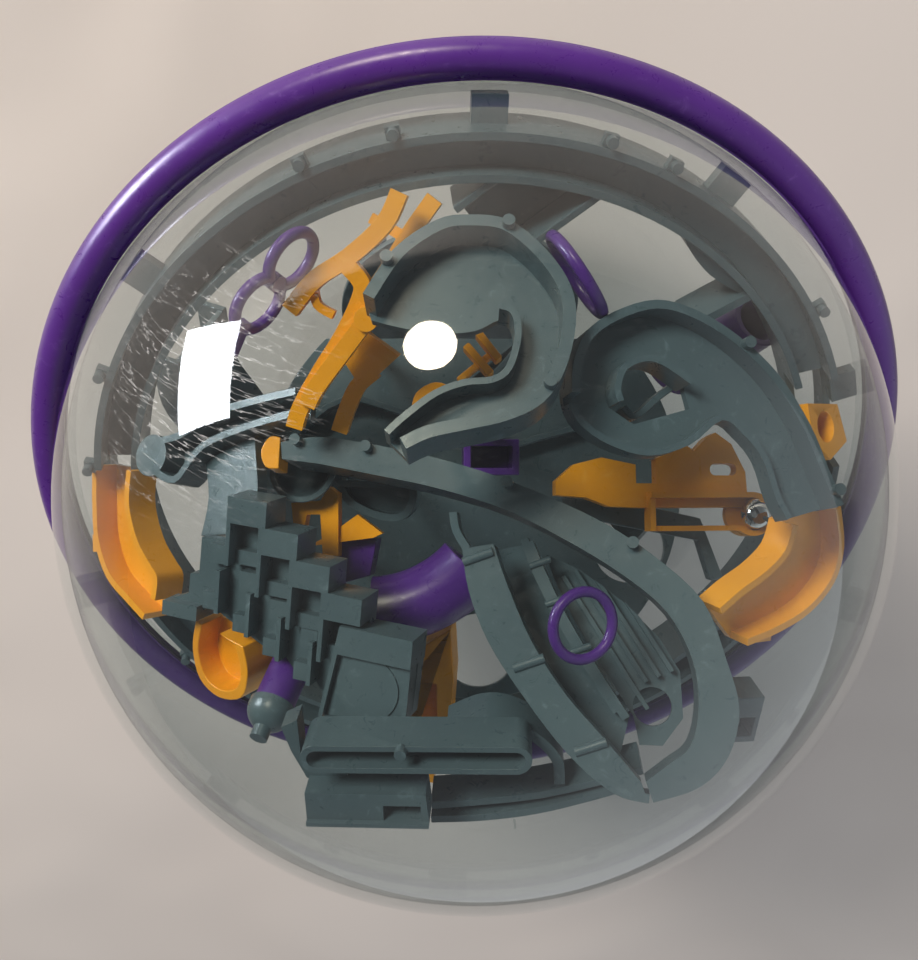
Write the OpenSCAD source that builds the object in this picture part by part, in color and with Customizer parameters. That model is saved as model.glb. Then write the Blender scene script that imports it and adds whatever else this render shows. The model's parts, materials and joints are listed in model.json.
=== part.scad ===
// Maze ball: a clear sphere in two domes, clamped by an equator ring, with a
// moulded obstacle track inside that a small steel ball runs along.
// Frame: origin at the sphere's centre, +Z through the pole of the front dome,
// the ring lies in the XY plane. Millimetres.

/* [Shell] */
// Outer diameter of the clear sphere
shell_d = 188; // [180:1:240]
// Wall of the clear domes
shell_wall = 2; // [1.5:0.1:2.4]
// Height of the flange on each dome that the ring clamps
flange_t = 1.2; // [0.8:0.1:2]
// How far the dome flange stands out
flange_out = 2.6; // [1.5:0.1:3]

/* [Equator ring] */
// Thickness of the round ring section
ring_t = 7.2; // [6.5:0.1:9]
// Gap between the ring and what it holds
ring_gap = 0.15; // [0.1:0.05:0.3]

/* [Equator track] */
// Space between the round channel and the inside of the domes
track_gap = 5.5; // [4:0.5:8]
// Width of the round channel over its walls
track_w = 9.5; // [8:0.5:12]
// Height of the round channel
track_h = 14; // [10:0.5:16]

/* [Maze walls] */
// Wall thickness of the moulded tracks
wall = 1.6; // [1.2:0.1:2]
// Thickness of the track floors
floor_t = 1.6; // [1.2:0.1:2]
// Diameter of the short locating pegs
peg_d = 2.2; // [1.6:0.1:3]
// Diameter of the posts that carry the maze
post_d = 3; // [2:0.5:4]

/* [Ball] */
// Diameter of the steel ball
ball_d = 6.35; // [5:0.05:8]
// Gap under and beside the resting ball
ball_gap = 0.3; // [0.2:0.05:0.6]
// Length of the straight run that the ball rolls
run_l = 18; // [12:1:24]

/* [Hidden] */
GREY = "#66777a";
ORANGE = "#dc9320";
PURPLE = "#54307f";
CLEAR = [0.85, 0.88, 0.88, 0.25];
STEEL = "#c9ccd0";
FINE = 96;
ROUND = 40;
STEPS = 4;
shell_r = shell_d / 2;
inner_r = shell_r - shell_wall;
ring_r = shell_r + ring_gap + ring_t / 2 + 0.15;
track_r = inner_r - track_gap;
track_in = track_r - track_w;
// The maze is drawn for a sphere of this inner radius and follows the shell
DRAWN_R = 92;
fit = inner_r / DRAWN_R;
// The front of the maze leans back from the pole, and is turned half round
LEAN = [-35.3, -3.6, 182.5];

// ---- curves ------------------------------------------------------------

// A point between b and c on the smooth curve through a, b, c and d
function between(a, b, c, d, t) =
  0.5 * (2 * b + (c - a) * t + (2 * a - 5 * b + 4 * c - d) * t * t
         + (3 * b - a - 3 * c + d) * t * t * t);
// A smooth curve through the points of p
function curve(p, n = STEPS) = [
  for (i = [0 : len(p) - 2]) for (k = [0 : n - 1])
    between(p[max(i - 1, 0)], p[i], p[i + 1], p[min(i + 2, len(p) - 1)], k / n),
  p[len(p) - 1]];
function back(p) = [for (i = [len(p) - 1 : -1 : 0]) p[i]];
// Unit direction square to the curve at point i, on its left hand
function side(p, i) =
  let (a = p[max(i - 1, 0)], b = p[min(i + 1, len(p) - 1)], d = b - a)
  [-d[1], d[0]] / norm(d);
// The curve moved sideways by s
function beside(p, s) = [for (i = [0 : len(p) - 1]) p[i] + s * side(p, i)];

// A strip between the offsets s0 and s1 of a smooth curve
module strip(p, s0, s1, h) {
  c = curve(p);
  linear_extrude(h) polygon(concat(beside(c, s0), back(beside(c, s1))));
}
// A flat plate between two smooth edges
module plate(a, b, h) {
  linear_extrude(h) polygon(concat(curve(a), back(curve(b))));
}
// An open channel between two edges: floor at the bottom, walls up to tall.
// hand is 1 where edge b lies on the right of edge a, else -1
module trough(a, b, tall, hand = 1) {
  plate(a, b, floor_t);
  strip(a, 0, -hand * wall, tall);
  strip(b, 0, hand * wall, tall);
}
// The same channel with its floor outwards and its walls running inwards
module ramp(a, b, tall, hand = 1) {
  translate([0, 0, tall - floor_t]) plate(a, b, floor_t);
  strip(a, 0, -hand * wall, tall);
  strip(b, 0, hand * wall, tall);
}
// A round rod of thickness t lying along a smooth curve, squared off
module bar(p, t, h) { strip(p, t / 2, -t / 2, h); }
// A ring of bar thickness t
module hoop(r, t) {
  rotate_extrude($fn = FINE) translate([r, 0]) circle(d = t, $fn = ROUND);
}

// ---- places ------------------------------------------------------------

// Puts a piece on the leaning front of the maze: a is its turn to the right,
// b its turn upwards, r its distance from the centre
module seat(a, b, r, spin = 0) {
  rotate(LEAN) rotate([0, a, 0]) rotate([-b, 0, 0])
    scale(fit) translate([0, 0, r]) rotate([0, 0, spin]) children();
}
// Puts a piece in the rear dome by longitude and latitude
module rear_seat(lon, lat, r, spin = 0) {
  rotate([0, 90 - lat, lon])
    scale(fit) translate([0, 0, r]) rotate([0, 0, spin]) children();
}
module pegs(places, h) {
  for (p = places) translate([p[0], p[1], p[2] - 0.5]) cylinder(d = peg_d, h = h + 0.5, $fn = ROUND);
}

// ---- shell -------------------------------------------------------------

// Half of the sphere, open at the equator, with its clamped flange
module dome() {
  rotate_extrude($fn = 180) {
    difference() {
      circle(r = shell_r, $fn = 180);
      circle(r = inner_r, $fn = 180);
      translate([-shell_r - 1, -shell_r - 1]) square([shell_r + 1, 2 * shell_r + 2]);
      translate([-1, -shell_r - 1]) square([shell_r + 2, shell_r + 1]);
    }
    translate([shell_r - 0.3, 0]) square([flange_out + 0.3, flange_t]);
  }
}
module front_dome() { color(CLEAR) dome(); }
module rear_dome() { color(CLEAR) mirror([0, 0, 1]) dome(); }

// Half of the ring: a half-round band with a groove for the dome flange
module ring_half() {
  rotate_extrude($fn = 180) difference() {
    translate([ring_r, 0]) circle(d = ring_t, $fn = 48);
    translate([ring_r - ring_t, -ring_t]) square([2 * ring_t, ring_t]);
    translate([0, -1]) square([shell_r + flange_out + ring_gap, flange_t + ring_gap + 1]);
    circle(r = shell_r + ring_gap, $fn = 180);
  }
}
module ring_front_half() { color(PURPLE) ring_half(); }
module ring_rear_half() { color(PURPLE) mirror([0, 0, 1]) ring_half(); }

// ---- equator -----------------------------------------------------------

// Round channel in the plane of the ring, open to both domes, with tabs out
// to the seam
TABS = [18, 58, 90, 125, 160, 200, 238, 271, 322];
TAB_W = 7;
// Gates where the orange pieces cross the channel: angle and width
GATES = [[1, 24], [196, 24]];
module equator_track() color(GREY) {
  difference() {
    rotate_extrude($fn = 180) {
      translate([track_in, -track_h / 2]) square([wall, track_h]);
      translate([track_r - wall, -track_h / 2]) square([wall, track_h]);
      translate([track_in + wall / 2, -floor_t / 2]) square([track_w - wall, floor_t]);
    }
    for (g = GATES) rotate([0, 0, g[0]])
      translate([track_in - 4, -g[1] / 2, -1]) cube([track_w + 8, g[1], track_h]);
  }
  for (t = TABS) rotate([0, 0, t]) intersection() {
    translate([track_r - 0.5, -TAB_W / 2, -1.5]) cube([inner_r - track_r + 1, TAB_W, 3]);
    sphere(r = inner_r - 0.1, $fn = 180);
  }
}
// Small lugs on the channel's outer wall, one between each pair of tabs
LUGS = [34, 74, 108, 142, 181, 216, 247, 256, 283, 295, 337, 353];
module equator_lugs() color(GREY) {
  for (t = LUGS) rotate([0, 0, t]) translate([track_r, 0, track_h / 2 - 3]) {
    translate([0.02, -1.4, 0]) cube([2.4, 2.8, 2]);
    translate([1.3, 0, 2]) cylinder(d = peg_d, h = 2, $fn = ROUND);
  }
}

// Straight channel across one side of the equator
module cross_channel() color(GREY) {
  intersection() {
    scale(fit) translate([-5.5, -61.4, -6]) rotate([0, 0, 219.3]) translate([-4, 0, 0]) {
      cube([34, wall, 12]);
      translate([0, 15, 0]) cube([34, wall, 12]);
      cube([34, 15, floor_t]);
    }
    cylinder(r = track_in - 0.05, h = 40, center = true, $fn = 180);
  }
}
// Rib and curved wall that close the next bay of the equator
module cross_rib() color(GREY) {
  intersection() {
    scale(fit) {
      translate([0, 0, -6]) strip([[-62, -58], [-54, -52.5], [-44, -46]], 0, -1.8, 12);
      translate([0, 0, -6]) strip([[-36.5, -72], [-40, -64.5], [-46, -58], [-54, -53.6]], 0, 5, 10);
    }
    cylinder(r = track_in - 0.05, h = 40, center = true, $fn = 180);
  }
}

// ---- upper scrolls -----------------------------------------------------

// Left scroll: a wide curled channel like a question mark
SL_OUT = [[-19, 10], [-14, 18.5], [-7, 24], [-1.5, 25], [5, 24], [11, 18.5], [15, 11.5],
  [15.5, 4.5], [13.5, -3.5], [10, -9], [4.5, -12], [-1.5, -13.5], [-8, -15], [-12, -17]];
SL_IN = [[-18.5, 8.5], [-13, 7], [-6.5, 6], [-0.5, 6.5], [3.5, 8.5], [5.5, 7.5], [6, 3.5],
  [4.5, -2], [2, -4], [-2.5, -4.5], [-7.5, -6.5], [-12.5, -10.5], [-15.5, -13.5]];
module scroll_left() color(GREY) seat(0, 18, 70) {
  plate(SL_OUT, SL_IN, floor_t);
  strip(SL_OUT, 0.6, -wall, 8);
  strip([for (i = [4 : len(SL_IN) - 1]) SL_IN[i]], 0, 1.2, 6);
  pegs([[-15.6, 16.6, 8], [5.2, 23.6, 8], [11.5, -6.2, 8]], 1.6);
}

// Right scroll: a round dish that runs out into a long curved arm
SR_OUT = [[0, 7.5], [0.5, 12.5], [3, 18], [8.5, 22], [16.5, 24.5], [24, 23], [32, 18.5],
  [39.5, 11.5], [45, 2.5], [48, -5.5], [50.5, -12]];
SR_IN = [[40.5, -14.5], [38.5, -10.5], [36.5, -3.5], [33, 1], [29, 3.5], [22.5, -1],
  [14.5, -3], [7, -1], [2, 2.5], [0.2, 6]];
SR_LIP = [[23, 10.5], [17.5, 14], [13.5, 14.5], [9.5, 12.5], [8, 8.5], [8.5, 6]];
module scroll_right() color(GREY) seat(13, 8, 66) {
  difference() {
    linear_extrude(floor_t)
      polygon(concat(curve(SR_OUT), curve(SR_IN)));
    translate([0, 0, -1]) linear_extrude(floor_t + 2)
      polygon(concat(curve(SR_LIP), [[13, 3], [24, 6]]));
  }
  strip(SR_OUT, 0, -wall, 6.5);
  strip(SR_IN, 0, -1.2, 4);
  strip(SR_LIP, 0, 1.2, 6);
  pegs([[33.5, 17, 6.5], [49, -9.5, 6.5]], 1.6);
}
// Bright latch bar that lies across the dish's hole
module scroll_latch() color(GREY) seat(13, 8, 62.5)
  bar([[24, 12], [19, 8.5], [14.5, 5], [12.2, 6.6]], 1.3, 3.2);

// ---- the large loop ----------------------------------------------------

LOOP = [-9.5, 10];
LOOP_R = 34.7;
LOOP_TALL = 12;
LR_OUT = [[-32, 2], [-24, 3], [-13.5, 1.5], [-1.5, -1], [10.5, -4.5], [22, -9], [32.5, -14],
  [41.5, -20], [50, -28], [54, -38.5], [56, -47], [54, -55], [49, -60.5], [41, -63.5]];
LR_IN = [[-31.5, -1.5], [-23.5, -2.5], [-13.5, -4.5], [-1, -7], [12.5, -11], [24, -16.5],
  [35, -23], [43.5, -30], [48, -38.5], [49, -46.5], [47.5, -53.5], [43.5, -57], [39.7, -60]];
module long_ramp() color(GREY) seat(LOOP[0], LOOP[1], LOOP_R) {
  ramp(LR_OUT, LR_IN, LOOP_TALL);
  pegs([[-28.5, 2.2, LOOP_TALL], [-14, 0.8, LOOP_TALL], [14, -6.3, LOOP_TALL],
        [37.5, -17.6, LOOP_TALL]], 2);
}
RR_OUT = [[5.5, -19], [7, -27], [11, -36.5], [18, -46.5], [26, -56], [34, -62.3], [40.2, -63.7]];
RR_IN = [[11.5, -18], [14, -25], [19, -36], [25.5, -45.5], [32.5, -53], [38.9, -60.2]];
module return_ramp() color(GREY) seat(LOOP[0], LOOP[1], LOOP_R) {
  translate([0, 0, LOOP_TALL - 7]) ramp(RR_OUT, RR_IN, 7, -1);
  translate([0, 0, LOOP_TALL - 4]) bar([[3.5, -12], [4.2, -15.5], [6.4, -19]], 1.5, 4);
  for (p = [[8.6, -20.5, 8], [18.6, -40, -50], [30, -54.5, -35]])
    translate([p[0], p[1], LOOP_TALL]) rotate([0, 90, 20])
      cylinder(d = 1.8, h = 6, center = true, $fn = ROUND);
}
// Ledge that follows the inside of the loop, with its two thin rails
LN_A = [[18, -16], [20.5, -22], [25, -31], [31.5, -41.5], [37, -49.5]];
LN_B = [[15.5, -16], [18, -22.5], [23, -32], [29.5, -42.6], [34, -49.2]];
LN_FLOOR = [[9, -18], [11, -26], [15.5, -36.5], [22.5, -46], [29.5, -54], [35, -58]];
module loop_liner() color(GREY) seat(LOOP[0], LOOP[1], 30) {
  trough(LN_A, LN_B, 6, 1);
  plate(LN_A, LN_FLOOR, floor_t);
  for (p = [[19.5, -20.5], [22.8, -28], [27.6, -37.2]])
    translate([p[0], p[1], 6]) rotate([0, 90, 20])
      cylinder(d = 1.4, h = 4.4, center = true, $fn = ROUND);
}
// Ribbed plate at the bottom of the loop, with the hole the ball drops through
RP = [[20, -18], [27, -21], [36, -27.5], [43, -34.5], [47, -41], [47.5, -50], [43.5, -55.5],
  [39, -55.5], [37.8, -50], [32.5, -42], [26, -31.5], [21.5, -22.5]];
module ribbed_plate() color(GREY) seat(LOOP[0], LOOP[1], 25) {
  difference() {
    linear_extrude(2) polygon(RP);
    translate([41.5, -48, -1]) cylinder(d = 7.6, h = 4, $fn = ROUND);
  }
  intersection() {
    linear_extrude(6) polygon(RP);
    for (k = [0 : 3]) translate([23.3 + k * 2.5, -22.7 + k * 1.1, 1]) rotate([0, 0, -57])
      cube([k > 0 ? 26 : 31, 0.9, 2.6 + k * 0.5]);
  }
}
module brace_bar() color(GREY) seat(10, 0, 24)
  linear_extrude(3) polygon([[14, -1], [32.5, -3], [46.5, -6], [52, -19.5], [49, -20],
    [46, -11], [27.5, -7.5], [15, -4.5]]);

// ---- lower front -------------------------------------------------------

LOW = [-3, -22];
// Oblong slot track, like a paper clip
module oblong(l, w) {
  for (x = [w / 2, l - w / 2]) translate([x, 0]) circle(d = w, $fn = ROUND);
  translate([w / 2, -w / 2]) square([l - w, w]);
}
module slot_track() color(GREY) seat(LOW[0], LOW[1], 65) {
  translate([-29, -22, 0]) rotate([0, 0, 0.6]) linear_extrude(9) difference() {
    oblong(42, 6);
    translate([1.2, 0]) oblong(39.6, 3.6);
  }
  pegs([[-10.5, -19.6, 9]], 1.6);
}
RC = [[-3, -22], [3.5, -19], [9.5, -19.5], [15.5, -23.5], [19, -28.5], [19.5, -34]];
module race_arc() color(GREY) seat(LOW[0], LOW[1], 56.9) {
  strip(RC, 0, -2, 8);
  plate([[-1.5, -23.5], [5, -20.5], [11, -22], [16, -27]], [[-1, -27], [4, -26], [9, -27],
    [12, -30]], floor_t);
}
// Arm and foot below the slot track
module foot_bracket() color(GREY) seat(LOW[0], LOW[1], 63) {
  linear_extrude(5) polygon([[-33.5, -19.5], [-30.4, -17.8], [-30.3, -25.6], [-23, -26],
    [-21.5, -31], [-29.5, -31], [-32, -25]]);
  difference() {
    translate([0, 0, 3]) linear_extrude(7) polygon([[-29, -30.4], [-29, -36.5], [-6, -36.5],
      [-6.5, -30.4]]);
    translate([-14.5, -37, 5]) cube([7, 4, 6]);
  }
  translate([-29, -37.3, 3]) cube([23, 0.9, 8]);
}
LA_UP = [[-6.5, -39.7], [3.5, -38.5], [14.5, -36.7], [26, -33.3], [34, -30.5]];
LA_LOW = [[-6.5, -44.7], [3.5, -44], [14.5, -42], [26, -38.2], [34, -35]];
module lower_arc() color(GREY) seat(LOW[0], LOW[1], 56) trough(LA_UP, LA_LOW, 8, 1);

// ---- staircase ---------------------------------------------------------

// Two flights of square steps, high treads and dark wells between them,
// that end in a flat plate with a round mark
STEP_LOW = 3;
STEP_MID = 5.5;
STEP_TOP = 8;
module step_block() color(GREY) seat(-18, -8, 52, -8.5) {
  linear_extrude(STEP_LOW) polygon([[-31.3, 3.2], [-22.9, 3.2], [-22.9, -1.9],
    [-15.9, -1.9], [-15.9, -7], [-8.9, -7], [-8.9, -12.1], [-1.9, -12.1], [-1.9, -18], [8.8, -18],
    [8.3, -34.5], [-9.1, -37], [-12.8, -31], [-16.8, -31],
    [-20, -27.6], [-23.6, -27.6], [-30.4, -24.3], [-37.1, -21], [-39.5, -24], [-46.5, -25.3],
    [-46.4, -21.5], [-42, -19.5], [-41.8, -15.3], [-39.8, -15.1], [-39.6, -7.3], [-31.3, -7.3]]);
  for (i = [0 : 3]) translate([-30.5 + i * 7, -2 - i * 5.1, 0]) {
    translate([-0.8, 0, 0]) cube([8.4, 5.2, STEP_TOP]);
    translate([-0.8, -8.6, 0]) cube([0.9, 9, STEP_TOP]);
    translate([-0.8, -8.6, 0]) cube([7.2, 2.9, STEP_MID]);
  }
  for (i = [0 : 3]) translate([-32.6 + i * 7, -12.5 - i * 3.5, 0]) {
    translate([-1, -8.6, 0]) cube([0.9, 8.8, STEP_TOP - 1]);
    translate([-4.5, -8.5, 0]) cube([3.6, 3.6, STEP_MID]);
    translate([-3.5, 1.2 - i, 0]) cube([3.6, 3.9, STEP_MID]);
  }
  translate([-46.4, -24.2, 0]) cube([8, 3, STEP_MID]);
  translate([-6, -23.6, 0]) cube([14.8, 5.6, STEP_TOP]);
  linear_extrude(STEP_TOP - 1.5) polygon([[-6, -23.4], [8.4, -22.2], [8.3, -34.5], [-9.1, -37]]);
  linear_extrude(STEP_TOP) polygon([[-6, -18], [-5.1, -18], [-8.2, -36.9], [-9.1, -37]]);
  translate([0.2, -29.6, 0]) cylinder(d = 12.6, h = STEP_TOP - 1.1, $fn = 64);
}

// Small open bowl under the loop's tip, and the scoop beside it
module small_bowl() color(GREY) seat(LOOP[0], LOOP[1], 35.4) translate([-31.5, -1, 0])
  difference() {
    sphere(d = 15, $fn = 64);
    sphere(d = 12.4, $fn = 64);
    translate([-12, -12, -1]) cube([24, 24, 12]);
  }
module scoop() color(GREY) seat(-5, 0, 18.8) {
  trough([[-28.5, 2.5], [-26.5, -2], [-22, -5], [-16.5, -6.5], [-12.5, -5.6], [-10.5, -2],
    [-10.5, 2.5]], [[-27, 2.5], [-24, 2.4], [-21, 2.3], [-18, 2.4], [-15, 2.3], [-13, 2.4],
    [-12, 2.5]], 6, -1);
}

// ---- left side ---------------------------------------------------------

GF_UP = [[-47, 3], [-38, 4.5], [-31, 8.5], [-18.5, 11], [-8, 12.5]];
GF_LOW = [[-46, -4], [-38, -6.5], [-31, 0.5], [-18.5, 4.5], [-8, 6.5]];
module grey_funnel() color(GREY) seat(-30, 8, 52) {
  trough(GF_UP, GF_LOW, 7, 1);
  translate([-46, -0.5, 0]) cylinder(d = 9, h = 7, $fn = 64);
  plate([[-34, -1], [-32, -9], [-33, -17]], [[-21, 4], [-18.5, -9], [-20, -16]], 3);
}
LC_OUT = [[-63, 8], [-63.5, 0], [-63, -9.5], [-59, -17.5], [-52, -22.5], [-46.5, -26]];
LC_IN = [[-49, 6.5], [-50, -1], [-47.5, -8.5], [-43.5, -13.5], [-41, -16.5], [-42, -21.5]];
module left_chute() color(ORANGE) seat(-35, -2, 54) {
  trough(LC_OUT, LC_IN, 7, -1);
  translate([-65.2, -12, 0]) cube([2, 4, 6]);
}
module spoon_cup() color(ORANGE) seat(-40, -15, 60) {
  difference() {
    linear_extrude(7) polygon(curve([[-24, -10], [-27.5, -16.5], [-27.5, -23.5], [-22, -27],
      [-14, -25.8], [-10, -20], [-9.5, -14]]));
    translate([0, 0, 1.8]) linear_extrude(6) polygon(curve([[-21.5, -10], [-25.5, -16.5],
      [-25.3, -22.5], [-21.2, -25], [-15, -23.8], [-12, -19.4], [-12, -14]]));
    translate([-15.5, -17, -1]) cylinder(d = 3.6, h = 4, $fn = ROUND);
  }
}

// ---- right side --------------------------------------------------------

RT_OUT = [[40.5, 12.5], [44, 4], [43, -3.5], [37, -9.5], [28.5, -13], [20, -15]];
RT_IN = [[27, 9], [26, 4], [21.5, 0], [15.5, -3.2], [10.4, -6.6]];
module right_chute() color(ORANGE) seat(32, -12, 66) {
  trough(RT_OUT, RT_IN, 6, 1);
  translate([24, -15.5, 0]) cube([5, 2.5, 4]);
}
module side_clip() color(GREY) seat(10, -25, 58) {
  difference() {
    translate([43, -25, 0]) cube([5.5, 11, 7]);
    translate([44.2, -23.5, 1.5]) cube([3.1, 4.5, 7]);
  }
}

// ---- orange rails ------------------------------------------------------

RAIL_T = 3.2;
module rail_upper() color(ORANGE) seat(-4, -15, 45) {
  bar([[-9.5, 68], [-12.5, 62.5], [-19, 57], [-25.5, 53], [-30.5, 47.5]], RAIL_T, 3);
  bar([[-20.5, 56.5], [-17, 52.5], [-17.5, 49], [-21, 42.5], [-25.5, 36], [-29.5, 29.5],
    [-31, 25.5]], RAIL_T, 3);
  bar([[-16, 46], [-20, 41], [-26, 33.5], [-28, 30]], RAIL_T, 4.5);
  bar([[-26, 52], [-25.5, 48.5], [-22.5, 46.5]], 1.6, 2);
  translate([-16, 46, 0]) cylinder(d = 4.4, h = 5.5, $fn = ROUND);
}
module rail_lower() color(ORANGE) seat(-4, -15, 37) {
  bar([[-4, 67], [-9, 60.5], [-13, 54.5], [-17.5, 48], [-19, 41]], RAIL_T, 3);
  linear_extrude(3) polygon([[-23.5, 39], [-17.5, 42.5], [-11.5, 38], [-19, 31.5]]);
  bar([[-16.5, 35], [-20, 32], [-22.5, 27], [-24, 23]], RAIL_T, 3);
  translate([-10.5, 60.5, 0]) rotate([0, 0, 150]) translate([0, -1, 0]) cube([6.5, 2, 2.4]);
}
module tip_cap() color(ORANGE) seat(LOOP[0], LOOP[1], 41)
  linear_extrude(5.5) polygon(curve([[-32.2, 3], [-34.5, 3.2], [-36.2, 0.3], [-35, -3],
    [-32.2, -3.4]]));
module leg_bracket() color(ORANGE) seat(-8, 0, 26.3) {
  linear_extrude(3) polygon([[-36, -2.5], [-35.5, -7.5], [-33, -7.5], [-32.5, -5],
    [-29.5, -5], [-29, -13.5], [-25.5, -14], [-25.5, -0.5], [-27.5, 1], [-29.5, -2]]);
  linear_extrude(2) polygon([[-32.5, -12], [-29.2, -10.2], [-26.5, -8.5], [-21.5, -5],
    [-16, -9], [-18, -10], [-25.5, -11]]);
}

// ---- middle layer ------------------------------------------------------

// Straight orange run that carries the ball, with its cup at the far end
RUN = [8, 4];
RUN_R = 30;
RUN_Y = -7.2;
CUP_X = 55;
run_top = 3;
module ball_run() color(ORANGE) seat(RUN[0], RUN[1], RUN_R) {
  half = (ball_d / 2 + ball_gap) / fit;
  stop_x = CUP_X - run_l - half;
  difference() {
    linear_extrude(run_top) polygon([[12.5, 0], [16.5, 3.5], [22.5, 5], [30, 3.5], [35, 5],
      [41, 8], [43, 6.5], [46, 9.5], [48, 10.5], [51.5, 8], [54.5, 2], [CUP_X, RUN_Y + 1.5],
      [stop_x - 2, RUN_Y + 1.5], [24, -5.4], [19, -3.5], [12.5, -3]]);
    translate([46.5, 2.5, -1]) linear_extrude(5) oblong(6, 2.6);
    translate([30, -0.5, -1]) cube([4.5, 5.2, 5]);
  }
  // Raised lip above the lane, thin rail below it, and the stop at its left end
  translate([stop_x - 1.2, RUN_Y + half, 0]) cube([run_l + half + 1.2, 1.2, run_top + 3]);
  translate([stop_x - 1.2, RUN_Y - half, 1]) cube([run_l + half + 1.2, 1.1, run_top]);
  translate([stop_x - 1.2, RUN_Y - half, 1]) cube([1.2, 2 * half + 1, run_top + 1]);
  // Cup that the ball comes to rest in
  translate([CUP_X, RUN_Y, 0]) {
    cylinder(r = half + 1.2, h = 1.6, $fn = 64);
    difference() {
      cylinder(r = half + 1.2, h = run_top + 2.4, $fn = 64);
      translate([0, 0, -1]) cylinder(r = half, h = 12, $fn = 64);
      translate([-half - 2, -half, -1]) cube([half + 2, 2 * half, 12]);
    }
  }
}
module steel_ball() color(STEEL) seat(RUN[0], RUN[1], RUN_R)
  translate([CUP_X, RUN_Y, run_top + (ball_gap + ball_d / 2) / fit])
    sphere(d = ball_d / fit, $fn = 64);
module side_block() color(ORANGE) seat(40, 5, 56) difference() {
  linear_extrude(8) polygon([[44, 14], [57, 14.5], [60, 6], [52, 1.5], [45, 6]]);
  translate([51, 9, 2]) cylinder(d = 7, h = 8, $fn = ROUND);
}

module guide_bars() color(ORANGE) seat(0, 10, 44) {
  bar([[-2, 21.5], [3, 15.5]], 1.6, 3);
  bar([[0.5, 24], [4.6, 18.5]], 1.6, 3);
  translate([-3, 14, 0]) rotate([0, 0, 40]) cube([9, 1.4, 1.6]);
}
module orange_cam() color(ORANGE) seat(0, 8, 38) {
  linear_extrude(5) polygon(curve([[-13, 9.5], [-12, 14], [-8, 16.3], [-4, 14.5], [-4, 11],
    [-9, 8]]));
}
module drop_chute() color(ORANGE) seat(-5, -10, 12) {
  difference() {
    linear_extrude(12) polygon([[-3.5, -27], [-3, -38.5], [-4, -50.5], [-7.5, -55],
      [-8, -64], [-16, -64], [-15.5, -46.5], [-13.5, -39], [-14, -34], [-9.5, -31]]);
    translate([-13.5, -60, 3]) cube([6.5, 20, 12]);
  }
}
// Bent purple tube: a quarter bend with a straight mouth
module elbow_tube() color(PURPLE) seat(0, 0, 24) {
  translate([-23, 4, 0]) rotate([0, 0, -88]) rotate_extrude(angle = 46, $fn = FINE)
    translate([30, 0]) difference() {
      circle(d = 15, $fn = 48);
      circle(d = 11.5, $fn = 48);
    }
}
// Short post at the foot of the steps, and the knob on its end
POST = [[-36.8, -33, 33], [-41.6, -46, 45]];
module aim(line) {
  d = line[1] - line[0];
  rotate(LEAN) scale(fit) translate(line[0]) rotate([0, acos(d[2] / norm(d)), atan2(d[1], d[0])])
    children();
}
module purple_post() color(PURPLE) aim(POST) difference() {
  cylinder(d = 8.2, h = 13, $fn = 64);
  translate([0, 0, -1]) cylinder(d = 5.4, h = 12, $fn = 64);
}
module post_cap() color(GREY) aim(POST) {
  translate([0, 0, 13.05]) cylinder(d = 9.4, h = 1.4, $fn = 64);
  translate([0, 0, 14]) intersection() {
    sphere(d = 9.4, $fn = 64);
    cylinder(d = 12, h = 5, $fn = 64);
  }
  translate([0, 0, 18]) cylinder(d = 3.6, h = 2.6, $fn = ROUND);
}
module purple_box() color(PURPLE) seat(2, 0, 22) difference() {
  translate([-3.5, 3.5, 0]) cube([11.5, 7.5, 12]);
  translate([-2, 5, 2]) cube([8.5, 4.5, 11]);
}
module purple_bucket() color(PURPLE) seat(25, 18, 34) difference() {
  translate([57, 27, 0]) cylinder(d = 13, h = 12, $fn = 64);
  translate([57, 27, 1.6]) cylinder(d = 10, h = 12, $fn = 64);
}
module purple_wedge() color(PURPLE) seat(-8, 0, 20)
  linear_extrude(5) polygon([[-28, -15], [-28, -21], [-19.5, -18.5], [-18, -10.5], [-26.5, -9.5]]);
module hoop_upper() color(PURPLE) seat(-7, -12, 51)
  translate([25, 50.4, 0]) rotate([0, 0, -57]) rotate([83, 0, 0]) hoop(8, 2.2);
module hoop_lower() color(PURPLE) seat(LOOP[0], LOOP[1], 50)
  translate([28.6, -33, 0]) rotate([12, 34, 0]) hoop(6.2, 2);
module double_hoop() color(PURPLE) seat(11, -11, 43.6) translate([-47.2, 47.3, 0])
  rotate([0, 0, 54]) rotate([57, 0, 0]) {
    for (x = [-5, 5]) translate([x, 0, 0]) hoop(5.4, 2.2);
    cylinder(d = 3.4, h = 2.4, center = true, $fn = ROUND);
    translate([-15, -3.4, -1]) rotate([0, 0, 24]) cube([7, 2.2, 2]);
  }

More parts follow.
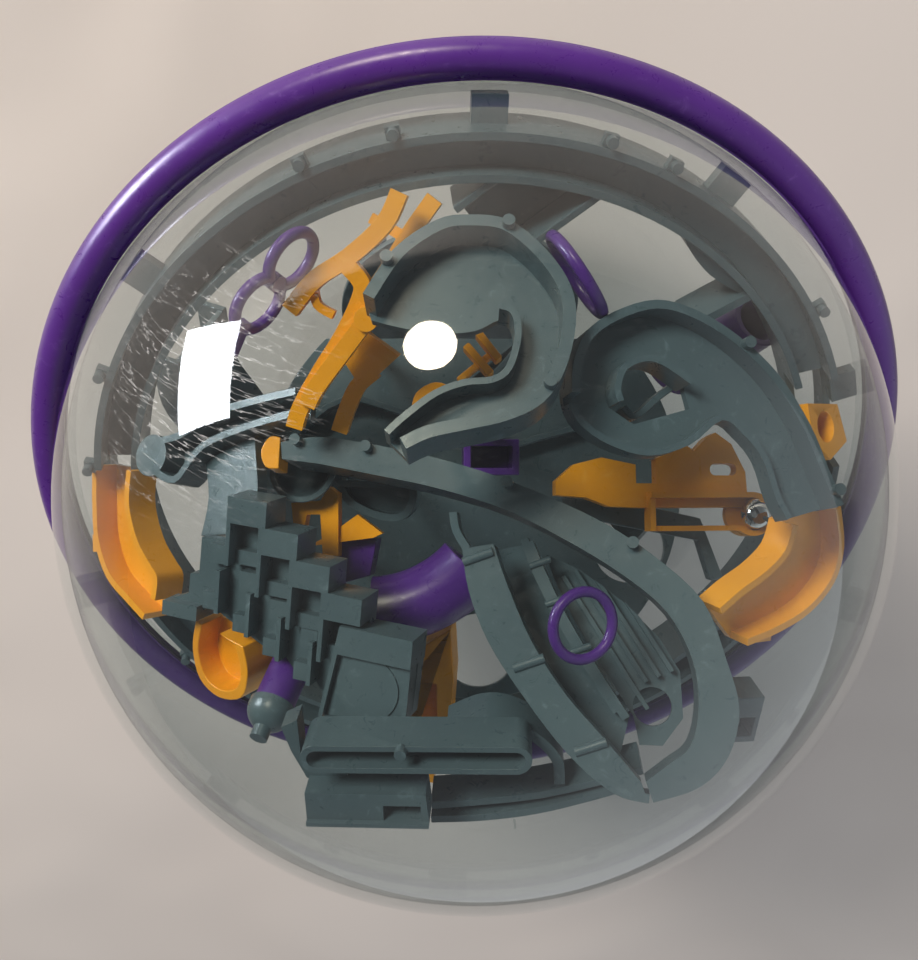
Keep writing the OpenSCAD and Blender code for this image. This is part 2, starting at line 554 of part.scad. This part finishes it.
// Posts that tie the maze to the equator channel and to each other
POSTS = [
  [[2.4, 18.8, -29.1], [0.2, 12.7, 68.9]],       // deck to left scroll
  [[-39, -30.2, -29.1], [-29.3, -21.3, 41.9]],   // deck to step block
  [[33.4, 4.1, -29.1], [25.7, 3.8, 26.2]],       // deck to ball run
  [[-27.6, 38.4, -29.1], [-20.8, 28.4, 44.1]],   // deck to lower rail
  [[-8.4, 22.7, -22.9], [-7.2, 18.1, 35.6]],     // deck to cam
  [[-31.4, -18.8, -29.1], [-26.5, -15.1, 16.2]], // deck to purple wedge
  [[-24.9, 5.2, -29.1], [-19.9, 4.6, 31.2]],     // deck to loop
  [[-5.8, -19.3, -29.1], [-5.4, -15.5, 16.7]],   // deck to bent tube
  [[-20.2, 36.9, -42.8], [-19.5, 35.4, -31.1]],  // rear spiral to deck
  [[14.3, 37.2, -45.8], [13.4, 35.4, -31.1]],    // rear spiral to deck
  [[-40.5, -31.6, -40.1], [-39.3, -30.5, -31.1]], // rear chute to deck
  [[35.6, 4.2, -44.4], [33.7, 4.1, -31.1]],      // rear steps to deck
  [[9.2, 62.4, -3.3], [7.4, 54, 29.5]],          // rear spiral to cross channel
  [[7, 51.9, 37.7], [5.9, 46.5, 59.3]],          // cross channel to left scroll
  [[51, 37.5, -22.3], [34.4, 26.7, 55.9]],       // rear cup to right scroll
  [[58.1, 33.6, 6.3], [45.3, 27, 53.5]],         // purple bucket to right scroll
  [[-60, 18.8, -20.7], [-48.9, 15.6, 28.9]],     // rear ramp to grey funnel
  [[-7.1, 17.6, 41.3], [-6.6, 15.4, 68.5]],      // cam to left scroll
  [[25.2, -52.7, 48.6], [24.4, -51.1, 53.8]],    // long arc to loop
  [[-35.6, -57.7, -32.5], [-26.8, -41.3, 39.8]], // equator to step block
  [[-65.4, -38.9, -12.8], [-56.4, -32.9, 22.8]], // equator to spoon cup
  [[45.6, -50, -32.9], [32.6, -36.2, 37.2]],     // equator to ribbed plate
  [[59.4, -37.4, -26.2], [41.7, -26.1, 47]],     // equator to loop
  [[3.2, -63.4, -40.2], [1.2, -43.2, 43.3]],     // equator to race arc
  [[-12.7, -63.2, -39.3], [-11.3, -53.3, 1.4]],  // equator to drop chute
  [[77.8, -9.8, -2.9], [64.3, -7.7, 36.1]],      // equator to right chute
  [[-81.8, -16.2, 2], [-79.5, -15.7, 8.3]]       // equator to left chute
];
POST_GAP = 0.15;
module maze_posts() color(GREY) for (p = POSTS) aim(p) translate([0, 0, POST_GAP])
  cylinder(d = post_d, h = norm(p[1] - p[0]) - 2 * POST_GAP, $fn = ROUND);

// ---- rear dome ---------------------------------------------------------

function spiral(n, r0, r1, turn) =
  [for (i = [0 : n]) let (t = i / n) (r0 + (r1 - r0) * t) * [cos(turn * t), sin(turn * t)]];
// Round deck behind the middle layer, with windows that the ball drops through and two
// winding walls on each face
DECK_R = 57;
DECK_TOP = 41;
module rear_deck() color(GREY) seat(0, 0, -31) {
  difference() {
    cylinder(r = DECK_R, h = 1.8, $fn = 128);
    for (w = [[43, -16, 19], [2, -44, 20], [-47, -24, 13]])
      translate([w[0], w[1], -1]) cylinder(d = w[2], h = 4, $fn = 64);
    translate([-DECK_R, DECK_TOP, -1]) cube([2 * DECK_R, DECK_R, 4]);
  }
  strip([[-50, 12], [-34, 24], [-14, 20], [2, 27], [14, 40]], 0.8, -0.8, 8);
  strip([[-44, 2], [-26, 9], [-8, 4], [12, 12], [34, 18]], 0.8, -0.8, 8);
  translate([0, 0, -6]) {
    strip([[-36, -30], [-18, -16], [4, -20], [22, -6], [48, 8]], 0.8, -0.8, 7);
    strip([[-48, 6], [-22, 2], [0, -2], [18, 14], [36, 30]], 0.8, -0.8, 7);
  }
}
module rear_spiral() color(GREY) rear_seat(-88, -66, 56) {
  strip(spiral(20, 8, 31, 500), 1, -1, 9);
  cylinder(r = 32, h = floor_t, $fn = 96);
}
module rear_ramp() color(GREY) rear_seat(-2, -30, 68, 68)
  trough([[-30, 12], [-16, 16], [0, 14], [14, 12], [28, 14]],
         [[-30, -8], [-16, -5], [0, -8], [14, -10], [28, -6]], 8, 1);
module rear_steps() color(GREY) rear_seat(150, -42, 58)
  for (i = [0 : 4]) translate([-24 + i * 9, -6, 0]) cube([9.5, 12, 4 + i * 2.5]);
module rear_chute() color(ORANGE) rear_seat(52, -22, 66)
  trough([[-24, -4], [-12, 8], [2, 12], [16, 8]], [[-18, -12], [-9, -3], [4, 0], [16, -4]], 7, 1);
module rear_cup() color(PURPLE) rear_seat(-165, -34, 69) difference() {
  cylinder(d = 20, h = 10, $fn = 64);
  translate([0, 0, 1.8]) cylinder(d = 16.4, h = 10, $fn = 64);
}

front_dome();
rear_dome();
ring_front_half();
ring_rear_half();
equator_track();
equator_lugs();
cross_channel();
cross_rib();
scroll_left();
scroll_right();
scroll_latch();
long_ramp();
return_ramp();
loop_liner();
ribbed_plate();
brace_bar();
slot_track();
race_arc();
foot_bracket();
lower_arc();
step_block();
grey_funnel();
small_bowl();
scoop();
side_clip();
left_chute();
right_chute();
rail_upper();
rail_lower();
tip_cap();
leg_bracket();
ball_run();
side_block();
guide_bars();
orange_cam();
drop_chute();
spoon_cup();
elbow_tube();
purple_post();
post_cap();
purple_box();
purple_bucket();
purple_wedge();
hoop_upper();
hoop_lower();
double_hoop();
maze_posts();
rear_deck();
rear_spiral();
rear_ramp();
rear_steps();
rear_chute();
rear_cup();
steel_ball();
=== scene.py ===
"""A maze ball: a clear sphere in two domes, a purple ring round its equator, and a moulded
obstacle track inside that a small steel ball rolls along."""

import json

import bmesh
import bpy
import numpy as np
from mathutils import Matrix, Vector


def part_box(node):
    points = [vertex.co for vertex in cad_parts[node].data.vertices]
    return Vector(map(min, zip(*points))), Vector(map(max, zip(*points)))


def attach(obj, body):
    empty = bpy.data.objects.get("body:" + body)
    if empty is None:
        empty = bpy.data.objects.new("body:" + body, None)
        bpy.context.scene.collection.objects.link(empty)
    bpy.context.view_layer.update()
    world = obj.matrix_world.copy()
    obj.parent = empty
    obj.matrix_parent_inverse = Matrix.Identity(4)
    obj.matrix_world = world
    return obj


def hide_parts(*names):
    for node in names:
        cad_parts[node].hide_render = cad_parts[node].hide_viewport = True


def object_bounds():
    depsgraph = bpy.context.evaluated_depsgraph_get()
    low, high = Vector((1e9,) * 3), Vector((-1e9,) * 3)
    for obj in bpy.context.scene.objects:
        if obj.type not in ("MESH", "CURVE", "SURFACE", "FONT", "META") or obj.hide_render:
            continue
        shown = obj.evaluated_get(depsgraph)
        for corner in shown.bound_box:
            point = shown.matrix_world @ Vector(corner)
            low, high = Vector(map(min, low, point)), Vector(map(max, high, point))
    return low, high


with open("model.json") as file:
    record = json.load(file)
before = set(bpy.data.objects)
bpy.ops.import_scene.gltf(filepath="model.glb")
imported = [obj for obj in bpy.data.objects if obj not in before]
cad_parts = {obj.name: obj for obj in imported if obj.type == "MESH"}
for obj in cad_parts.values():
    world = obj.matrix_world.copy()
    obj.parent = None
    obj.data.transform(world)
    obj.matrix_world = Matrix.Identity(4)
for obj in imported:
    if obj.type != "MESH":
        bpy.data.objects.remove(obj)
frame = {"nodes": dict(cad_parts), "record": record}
packed_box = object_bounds()

# ---- the view -------------------------------------------------------------------------------
# The sphere is looked at from close by, above its near side, with the ring's near edge at the
# top of the view. The three directions are the view's right, its top, and towards the eye.
MM = 0.001
EYE = Vector((21.0, -135.64, 187.73)) * MM
RIGHT = Vector((-0.9971, -0.0439, 0.0621))
TOP = Vector((0.0, -0.8168, -0.5770))
TOWARDS_EYE = Vector((0.0760, -0.5753, 0.8144))

camera = bpy.data.objects.new("camera", bpy.data.cameras.new("camera"))
bpy.context.scene.collection.objects.link(camera)
eye_axes = Matrix((RIGHT, TOP, TOWARDS_EYE)).transposed()
camera.matrix_world = Matrix.Translation(EYE) @ eye_axes.to_4x4()
camera.data.lens = 36.03
camera.data.sensor_width = 36.0
camera.data.clip_start = 0.01
bpy.context.scene.camera = camera
# Plain sRGB keeps the plastics as saturated as they are
bpy.context.scene.view_settings.view_transform = "Standard"

# ---- the floor and the light ----------------------------------------------------------------
# A pale cotton sheet under the sphere, soft daylight all round, one window to the left and a
# round ceiling lamp, whose reflections are the two bright patches on the front dome.
FLOOR_HALF = 3.0
# Noise scales are in waves per metre: this one gives folds about 140 mm apart
FOLD_SCALE = 7.0
WINDOW_SIDE = (0.80, -0.52, 0.30)
ROOM_DARK, ROOM_LIGHT = 0.17, 0.95


def linear(hex_colour):
    """The linear colour of an sRGB hex value: a straight line near black and a power of 2.4
    above it."""
    code = hex_colour.lstrip("#")
    srgb = np.array([int(code[i : i + 2], 16) for i in (0, 2, 4)]) / 255
    rgb = np.where(srgb <= 0.04045, srgb / 12.92, ((srgb + 0.055) / 1.055) ** 2.4)
    return (*rgb.tolist(), 1.0)


def wire(tree, kind, inputs=None, **settings):
    """Adds one shader node. Inputs are numbers, colours or the sockets that feed them."""
    made = tree.nodes.new("ShaderNode" + kind)
    for name, value in settings.items():
        setattr(made, name, value)
    for name, value in (inputs or {}).items():
        if isinstance(value, bpy.types.NodeSocket):
            tree.links.new(value, made.inputs[name])
        else:
            made.inputs[name].default_value = value
    return made


def blank(name):
    """A new material's tree, empty, with the material."""
    material = bpy.data.materials.new(name)
    material.use_nodes = True
    material.node_tree.nodes.clear()
    return material, material.node_tree


def finished(tree, shader):
    """Joins a shader to the tree's output."""
    output = tree.nodes.new("ShaderNodeOutputMaterial")
    tree.links.new(shader, output.inputs["Surface"])


cotton, tree = blank("cotton_sheet")
place = wire(tree, "TexCoord").outputs["Object"]
folds = wire(tree, "TexNoise", {"Vector": place, "Scale": FOLD_SCALE, "Detail": 1.0,
                                "Distortion": 0.6})
# The sheet's colour follows its folds, darker in their hollows and paler on their crests: painted
# shade.
fold_shaded_tone = wire(tree, "Mix", {"Factor": folds.outputs["Fac"], "A": linear("#cbc3bc"),
                          "B": linear("#dcd5ce")}, data_type="RGBA")
fold_bump = wire(tree, "Bump", {"Height": folds.outputs["Fac"], "Strength": 0.3, "Distance": 0.02})
sheet = wire(tree, "BsdfPrincipled", {"Base Color": fold_shaded_tone.outputs["Result"], "Roughness": 0.9,
                                      "Normal": fold_bump.outputs["Normal"]})
finished(tree, sheet.outputs["BSDF"])

floor_mesh = bpy.data.meshes.new("floor")
floor_z = packed_box[0][2]
floor_mesh.from_pydata([(x * FLOOR_HALF, y * FLOOR_HALF, floor_z) for x, y in
                        ((-1, -1), (1, -1), (1, 1), (-1, 1))], [], [(0, 1, 2, 3)])
floor = bpy.data.objects.new("floor", floor_mesh)
floor.data.materials.append(cotton)
bpy.context.scene.collection.objects.link(floor)

world = bpy.data.worlds.new("daylight")
world.use_nodes = True
tree = world.node_tree
# The room is lighter on the window's side and darker behind the eye
outwards = wire(tree, "NewGeometry").outputs["Normal"]
facing = wire(tree, "VectorMath", {0: outwards, 1: WINDOW_SIDE}, operation="DOT_PRODUCT")
room = wire(tree, "MapRange", {"Value": facing.outputs["Value"], "From Min": -0.2,
                               "From Max": 0.95, "To Min": ROOM_DARK,
                               "To Max": ROOM_LIGHT},
            interpolation_type="SMOOTHSTEP")
tree.nodes["Background"].inputs["Color"].default_value = linear("#e6e8ec")
tree.links.new(room.outputs["Result"], tree.nodes["Background"].inputs["Strength"])
bpy.context.scene.world = world


def lamp(name, towards, distance, size, watts, colour, target=(0, 0, 0), upright=(0, 0, 1),
         disc=False):
    """A soft lamp at a distance from its target, facing it. size is its width and its height, and
    the height runs along upright. Its place is the target plus the distance along towards."""
    light = bpy.data.lights.new(name, "AREA")
    light.shape = "ELLIPSE" if disc else "RECTANGLE"
    light.size, light.size_y = size
    light.energy = watts
    light.color = linear(colour)[:3]
    holder = bpy.data.objects.new(name, light)
    direction = Vector(towards).normalized()
    spot = Vector(target) + direction * distance
    across = Vector(upright).cross(direction).normalized()
    axes = Matrix((across, direction.cross(across), direction)).transposed()
    holder.matrix_world = Matrix.Translation(spot) @ axes.to_4x4()
    holder.visible_camera = False
    bpy.context.scene.collection.objects.link(holder)
    return holder


# The sky light over the sphere's near side, and its fill from the far side
key = lamp("key", towards=(0.55, -0.76, 0.36), distance=1.3, size=(0.4, 0.4), watts=27.0,
           colour="#fff6ee")
key.visible_glossy = False
fill = lamp("fill", towards=(-0.5, 0.55, 0.75), distance=1.3, size=(1.0, 1.0), watts=3.2,
            colour="#eef3ff")
fill.visible_glossy = False
# The window and the ceiling lamp are seen only as reflections
window = lamp("window", towards=(0.908, -0.410, -0.086), distance=0.26, size=(0.078, 0.112),
              watts=1.1, colour="#f4f8ff", target=Vector((49.4, -60.3, 52.5)) * MM,
              upright=(-0.285, -0.457, -0.834))
window.visible_diffuse = False
ceiling_lamp = lamp("ceiling_lamp", towards=(0.239, -0.922, 0.304), distance=1.0,
                    size=(0.22, 0.22), watts=6.0, colour="#fff0d8",
                    target=Vector((14.5, -70.3, 60.7)) * MM, disc=True)
ceiling_lamp.visible_diffuse = False

# ---- the clear domes ------------------------------------------------------------------------
# Two half spheres of clear polystyrene, injection moulded and polished, each with a thin flange
# at the equator that the ring clamps. Handling has left a little haze all over, and fine
# scratches that are painted white only round the window's reflection: a painted highlight.
SHELL_R, SHELL_IN = 94.0, 92.0
FLANGE_R, FLANGE_T, FLANGE_EDGE = 96.6, 1.2, 0.2
# The walls stop this many degrees up from the equator, just short of the pole
NEAR_POLE = 89.9
# Where the window's reflection lies on the front dome, in metres, and how far from there the
# scratches, a painted highlight round that reflection, thin out
WINDOW_GLINT_MIDDLE = (0.052, -0.060, 0.052)
WINDOW_GLINT_NEAR, WINDOW_GLINT_FAR = 0.010, 0.027
# Waves per metre: strokes some 17 mm long and 1.5 mm apart, and haze in patches of 33 mm
SCRATCH_SCALE, SCRATCH_STRETCH = 60.0, 11.0
HAZE_SCALE = 30.0
# How near its middle value the noise draws a line, and how white the line is at its middle
SCRATCH_BAND, SCRATCH_WHITE = 0.012, 0.4


def smooth_object(name, points, faces, material, body, sharp=40):
    """A piece from arrays of points in millimetres and of faces, shaded smooth except at its
    sharp edges, that moves with a body."""
    mesh = bpy.data.meshes.new(name)
    mesh.from_pydata((points * MM).tolist(), [], faces.tolist())
    mesh.polygons.foreach_set("use_smooth", np.ones(len(mesh.polygons), bool))
    mesh.update()
    mesh.set_sharp_from_angle(angle=np.radians(sharp))
    mesh.materials.append(material)
    piece = bpy.data.objects.new(name, mesh)
    bpy.context.scene.collection.objects.link(piece)
    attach(piece, body)
    return piece


def turned(profile, turns=288):
    """The surface that a closed profile of (radius, height) points sweeps round the Z axis: every
    point of the profile turned to each of the equal steps, and a four-sided face between
    neighbours in both directions. The profile runs anticlockwise, so faces point outwards."""
    angle = np.linspace(0, 2 * np.pi, turns, endpoint=False)[:, None]
    r, z = profile[:, 0][None], profile[:, 1][None]
    points = np.stack([r * np.cos(angle), r * np.sin(angle), z + 0 * angle], -1).reshape(-1, 3)
    n = len(profile)
    i, j = np.meshgrid(np.arange(turns), np.arange(n), indexing="ij")
    here, ahead = i * n, ((i + 1) % turns) * n
    faces = np.stack([here + j, ahead + j, ahead + (j + 1) % n, here + (j + 1) % n], -1)
    return points, faces.reshape(-1, 4)


def arc(radius, start, end, count, centre=(0.0, 0.0)):
    """Points on a circle from one angle to another, in degrees: the centre plus the radius times
    each angle's cosine and sine."""
    a = np.radians(np.linspace(start, end, count))
    return np.stack([centre[0] + radius * np.cos(a), centre[1] + radius * np.sin(a)], -1)


clear, tree = blank("clear_polystyrene")
place = wire(tree, "TexCoord").outputs["Object"]
# Scratches: thin lines where a stretched noise crosses its middle value, painted white only round
# the window's reflection, where they stand for the light the window catches in them: a painted
# highlight. They are about a tenth of a millimetre wide, coarser than real ones, so they show.
stretch = wire(tree, "Mapping", {"Vector": place, "Rotation": (0.5, 0.9, 0.3),
                                 "Scale": (1.0, SCRATCH_STRETCH, 1.0)})
strokes = wire(tree, "TexNoise", {"Vector": stretch.outputs["Vector"], "Scale": SCRATCH_SCALE,
                                  "Detail": 3.0, "Roughness": 0.6})
off_middle = wire(tree, "Math", {0: strokes.outputs["Fac"], 1: 0.5}, operation="SUBTRACT")
off_middle = wire(tree, "Math", {0: off_middle.outputs[0]}, operation="ABSOLUTE")
line = wire(tree, "MapRange", {"Value": off_middle.outputs[0], "From Min": 0.0,
                               "From Max": SCRATCH_BAND, "To Min": SCRATCH_WHITE,
                               "To Max": 0.0})
# The scratches fade out away from the window's reflection, so their white is a painted highlight.
from_window_glint = wire(tree, "VectorMath", {0: place, 1: WINDOW_GLINT_MIDDLE}, operation="DISTANCE")
window_glint_area = wire(tree, "MapRange", {"Value": from_window_glint.outputs["Value"], "From Min": WINDOW_GLINT_NEAR,
                                    "From Max": WINDOW_GLINT_FAR, "To Min": 1.0, "To Max": 0.02})
scratch_glint = wire(tree, "Math", {0: line.outputs["Result"], 1: window_glint_area.outputs["Result"]},
               operation="MULTIPLY")
haze_noise = wire(tree, "TexNoise", {"Vector": place, "Scale": HAZE_SCALE, "Detail": 3.0})
haze = wire(tree, "MapRange", {"Value": haze_noise.outputs["Fac"], "From Min": 0.3,
                               "From Max": 0.8, "To Min": 0.001, "To Max": 0.012})
rough = wire(tree, "MapRange", {"Value": haze_noise.outputs["Fac"], "To Min": 0.015,
                                "To Max": 0.05})
# Polystyrene mirrors by its index of refraction, on its outer faces only, and lets the rest by
seen = wire(tree, "Fresnel", {"IOR": 1.55})
outside = wire(tree, "Math", {0: 1.0, 1: wire(tree, "NewGeometry").outputs["Backfacing"]},
               operation="SUBTRACT")
mirror_share = wire(tree, "Math", {0: seen.outputs["Fac"], 1: outside.outputs[0]},
                    operation="MULTIPLY")
see_through = wire(tree, "BsdfTransparent", {"Color": linear("#f1f4f4")})
mirror = wire(tree, "BsdfGlossy", {"Color": linear("#ffffff"),
                                   "Roughness": rough.outputs["Result"]})
dust_and_scratch_glint = wire(tree, "BsdfDiffuse", {"Color": linear("#e9edf0")})
# Haze all over, plus the painted highlight of the scratches round the window's reflection
haze_and_scratch_glint = wire(tree, "Math", {0: scratch_glint.outputs[0], 1: haze.outputs["Result"]}, operation="ADD",
              use_clamp=True)
haze_and_scratch_glint = wire(tree, "Math", {0: haze_and_scratch_glint.outputs[0], 1: outside.outputs[0]}, operation="MULTIPLY")
wall = wire(tree, "MixShader", {"Fac": haze_and_scratch_glint.outputs[0], 1: see_through.outputs[0],
                                2: dust_and_scratch_glint.outputs[0]})
wall = wire(tree, "MixShader", {"Fac": mirror_share.outputs[0], 1: wall.outputs[0],
                                2: mirror.outputs[0]})
finished(tree, wall.outputs[0])

flange_foot = np.sqrt(SHELL_R**2 - FLANGE_T**2)
dome_profile = np.concatenate([
    [[SHELL_IN, 0.0], [FLANGE_R - FLANGE_EDGE, 0.0], [FLANGE_R, FLANGE_EDGE],
     [FLANGE_R, FLANGE_T - FLANGE_EDGE], [FLANGE_R - FLANGE_EDGE, FLANGE_T],
     [flange_foot, FLANGE_T]],
    arc(SHELL_R, 1.5, NEAR_POLE, 90), arc(SHELL_IN, NEAR_POLE, 0.6, 90)])
for name, is_rear in (("front_dome", False), ("rear_dome", True)):
    points, faces = turned(dome_profile)
    if is_rear:
        points, faces = points * (1, 1, -1), faces[:, ::-1]
    dome = smooth_object(name + "_moulded", points, faces, clear, "maze")
    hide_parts(name)

# ---- the equator ring -----------------------------------------------------------------------
# Two half-round bands of purple ABS that clip together over the dome flanges, with a fine
# parting line where they meet. The mould was lightly textured, so highlights are soft.
RING_R, RING_T = 97.9, 7.2
SEAM_R = 0.25
# Half the gap at the parting line, the clearances round the flange and off the dome's wall, and
# the groove's depth
PARTING, CLEARANCE, WALL_CLEARANCE, GROOVE = 0.03, 0.15, 0.16, 1.35


def abs_plastic(name, colour, deep, rub, ripple_mm, shine):
    """Injection-moulded ABS: a semi-gloss colour that drifts a little from deep to full over a few
    centimetres, with the faint ripple that cooling leaves, and paler, duller rub marks. A noise
    of scale one over a length in metres has waves of that length."""
    material, tree = blank(name)
    place = wire(tree, "TexCoord").outputs["Object"]
    drift = wire(tree, "TexNoise", {"Vector": place, "Scale": 1 / (22 * MM), "Detail": 2.0})
    ripple = wire(tree, "TexNoise", {"Vector": place, "Scale": 1 / (ripple_mm * MM),
                                     "Detail": 2.0})
    marks = wire(tree, "TexNoise", {"Vector": place, "Scale": 1 / (3.2 * MM), "Detail": 5.0,
                                    "Roughness": 0.75, "Distortion": 0.8})
    rubbed = wire(tree, "MapRange", {"Value": marks.outputs["Fac"], "From Min": 0.58,
                                     "From Max": 0.74, "To Min": 0.0, "To Max": 0.35})
    base = wire(tree, "Mix", {"Factor": drift.outputs["Fac"], "A": linear(deep),
                              "B": linear(colour)}, data_type="RGBA")
    worn = wire(tree, "Mix", {"Factor": rubbed.outputs["Result"], "A": base.outputs["Result"],
                              "B": linear(rub)}, data_type="RGBA")
    dull = wire(tree, "MapRange", {"Value": marks.outputs["Fac"], "From Min": 0.35,
                                   "From Max": 0.75, "To Min": shine, "To Max": shine + 0.18})
    bump = wire(tree, "Bump", {"Height": ripple.outputs["Fac"], "Strength": 0.3,
                               "Distance": 0.12 * MM})
    body = wire(tree, "BsdfPrincipled", {"Base Color": worn.outputs["Result"], "IOR": 1.53,
                                         "Roughness": dull.outputs["Result"],
                                         "Normal": bump.outputs["Normal"]})
    finished(tree, body.outputs["BSDF"])
    return material


SHINE = 0.26
purple_abs = abs_plastic("purple_abs", "#4f267c", "#3f1d66", "#7a58a4", ripple_mm=6.0, shine=SHINE)

seam = arc(SEAM_R, -90, 0, 5, (RING_R + RING_T / 2 - SEAM_R, SEAM_R)) + (0, PARTING)
groove_r = FLANGE_R + CLEARANCE
ring_profile = np.concatenate([
    [[groove_r, PARTING]], seam,
    arc(RING_T / 2, 6, 174, 40, (RING_R, 0.0)),
    [[SHELL_R + WALL_CLEARANCE, GROOVE], [groove_r, GROOVE]]])
for name, is_rear in (("ring_front_half", False), ("ring_rear_half", True)):
    points, faces = turned(ring_profile, turns=360)
    if is_rear:
        points, faces = points * (1, 1, -1), faces[:, ::-1]
    band = smooth_object(name + "_moulded", points, faces, purple_abs, "maze")
    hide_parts(name)

# ---- the moulded maze -----------------------------------------------------------------------
# Every track, chute, cup, rail and hoop is its own injection moulding in grey, orange or purple
# ABS, snapped and glued to its neighbours. A mould leaves a small radius on every edge, which
# is what catches the light.
EDGE_R = 0.28 * MM
# Faces that meet at more than this many degrees are an edge
EDGE_ANGLE = 33
FLAT_ANGLE = 1.0

grey_abs = abs_plastic("grey_abs", "#4f6063", "#3c4c52", "#7d9298", ripple_mm=5.0, shine=SHINE)
orange_abs = abs_plastic("orange_abs", "#eda310", "#d98a0a", "#f5c260", ripple_mm=5.0, shine=SHINE)
ABS_OF = {"grey_plastic": grey_abs, "orange_plastic": orange_abs, "purple_plastic": purple_abs}
MADE_ALREADY = {"front_dome", "rear_dome", "ring_front_half", "ring_rear_half", "steel_ball"}


def moulded(node, material, radius):
    """A copy of a piece with its doubled points merged, its triangles joined up where they lie
    flat, and a small round on its edges."""
    mesh = frame["nodes"][node].data.copy()
    shape = bmesh.new()
    shape.from_mesh(mesh)
    bmesh.ops.remove_doubles(shape, verts=shape.verts, dist=0.002 * MM)
    bmesh.ops.dissolve_limit(shape, angle_limit=np.radians(FLAT_ANGLE), verts=shape.verts,
                             edges=shape.edges)
    shape.to_mesh(mesh)
    shape.free()
    mesh.polygons.foreach_set("use_smooth", np.ones(len(mesh.polygons), bool))
    mesh.set_sharp_from_angle(angle=np.radians(EDGE_ANGLE))
    mesh.materials.clear()
    mesh.materials.append(material)
    piece = bpy.data.objects.new(node + "_moulded", mesh)
    bpy.context.scene.collection.objects.link(piece)
    edge = piece.modifiers.new("mould_radius", "BEVEL")
    edge.width = radius
    edge.segments = 2
    edge.limit_method = "ANGLE"
    edge.angle_limit = np.radians(EDGE_ANGLE)
    edge.harden_normals = True
    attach(piece, "maze")
    return piece


for part in frame["record"]["subparts"]:
    if part["node"] in MADE_ALREADY:
        continue
    piece = moulded(part["node"], ABS_OF[part["material_slot"]], EDGE_R)
    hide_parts(part["node"])

# ---- the steel ball -------------------------------------------------------------------------
# A quarter-inch bearing ball, hardened steel, ground and lapped to a mirror, with the faint
# dulling that rolling over plastic leaves.
BALL_R = 3.175

bearing_steel, tree = blank("bearing_steel")
place = wire(tree, "TexCoord").outputs["Object"]
smears = wire(tree, "TexNoise", {"Vector": place, "Scale": 1 / (2.0 * MM), "Detail": 4.0})
dulled = wire(tree, "MapRange", {"Value": smears.outputs["Fac"], "To Min": 0.05, "To Max": 0.16})
steel = wire(tree, "BsdfPrincipled", {"Base Color": linear("#d4d3cf"), "Metallic": 1.0,
                                      "Roughness": dulled.outputs["Result"]})
finished(tree, steel.outputs["BSDF"])

low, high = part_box("steel_ball")
ball_centre = np.array((low + high) / 2) / MM
ball_profile = arc(BALL_R, -NEAR_POLE, NEAR_POLE, 48)
points, faces = turned(ball_profile, turns=72)
ball = smooth_object("steel_ball_lapped", points + ball_centre, faces, bearing_steel, "ball",
                     sharp=80)
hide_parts("steel_ball")
